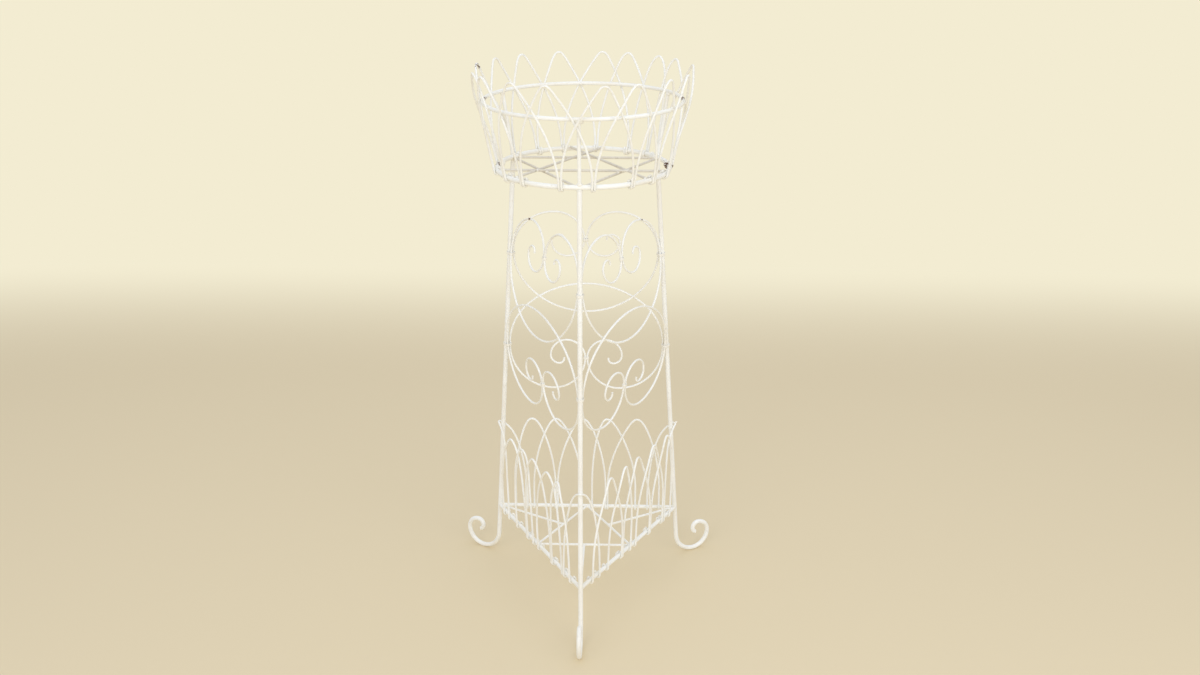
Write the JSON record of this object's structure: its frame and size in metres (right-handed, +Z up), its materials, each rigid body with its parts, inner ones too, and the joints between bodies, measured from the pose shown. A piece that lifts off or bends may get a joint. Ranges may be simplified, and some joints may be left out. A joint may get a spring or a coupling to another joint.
{
  "type": "wire plant stand",
  "caption": "Tall white wire plant stand: a flared round basket on splayed rod legs with scroll feet, heart scrolls between the legs and a low triangular shelf with a wire gallery.",
  "frame": {"origin": "on the floor, in the middle of the rectangle that the stand takes up; the axis of the ring and basket is about 46 mm behind it", "axes": "+Z up, -Y towards the front leg, +X to the right as seen from the front"},
  "size_m": [0.4684, 0.4482, 0.9388],
  "materials": {
    "rod_enamel": "brushed cream-white enamel over mild steel rod",
    "wire_enamel": "brushed cream-white enamel over drawn steel wire",
    "tie_enamel": "brushed cream-white enamel over thin steel strip"
  },
  "bodies": {
    "root": {"base_ring": "rod_enamel", "basket_hoop": "rod_enamel", "basket_loop_01": "wire_enamel", "basket_loop_02": "wire_enamel", "basket_loop_03": "wire_enamel", "basket_loop_04": "wire_enamel", "basket_loop_05": "wire_enamel", "basket_loop_06": "wire_enamel", "basket_loop_07": "wire_enamel", "basket_loop_08": "wire_enamel", "basket_loop_09": "wire_enamel", "basket_loop_10": "wire_enamel", "basket_loop_11": "wire_enamel", "basket_loop_12": "wire_enamel", "basket_loop_13": "wire_enamel", "basket_loop_14": "wire_enamel", "basket_loop_15": "wire_enamel", "basket_loop_16": "wire_enamel", "basket_loop_17": "wire_enamel", "centre_ties": "tie_enamel", "corner_loop_front": "wire_enamel", "corner_loop_left": "wire_enamel", "corner_loop_right": "wire_enamel", "floor_chords": "rod_enamel", "floor_lattice": "rod_enamel", "gallery_loop_back_1": "wire_enamel", "gallery_loop_back_2": "wire_enamel", "gallery_loop_back_3": "wire_enamel", "gallery_loop_back_4": "wire_enamel", "gallery_loop_back_5": "wire_enamel", "gallery_loop_left_1": "wire_enamel", "gallery_loop_left_2": "wire_enamel", "gallery_loop_left_3": "wire_enamel", "gallery_loop_left_4": "wire_enamel", "gallery_loop_left_5": "wire_enamel", "gallery_loop_right_1": "wire_enamel", "gallery_loop_right_2": "wire_enamel", "gallery_loop_right_3": "wire_enamel", "gallery_loop_right_4": "wire_enamel", "gallery_loop_right_5": "wire_enamel", "heart_lower_back": "wire_enamel", "heart_lower_left": "wire_enamel", "heart_lower_right": "wire_enamel", "heart_upper_back": "wire_enamel", "heart_upper_left": "wire_enamel", "heart_upper_right": "wire_enamel", "leg_front": "rod_enamel", "leg_left": "rod_enamel", "leg_right": "rod_enamel", "leg_ties": "tie_enamel", "post_front": "rod_enamel", "post_left": "rod_enamel", "post_right": "rod_enamel", "shelf_bar_back": "rod_enamel", "shelf_bar_left": "rod_enamel", "shelf_bar_right": "rod_enamel", "shelf_corner_bars": "rod_enamel", "shelf_medial_frame": "rod_enamel"}
  },
  "joints": []
}
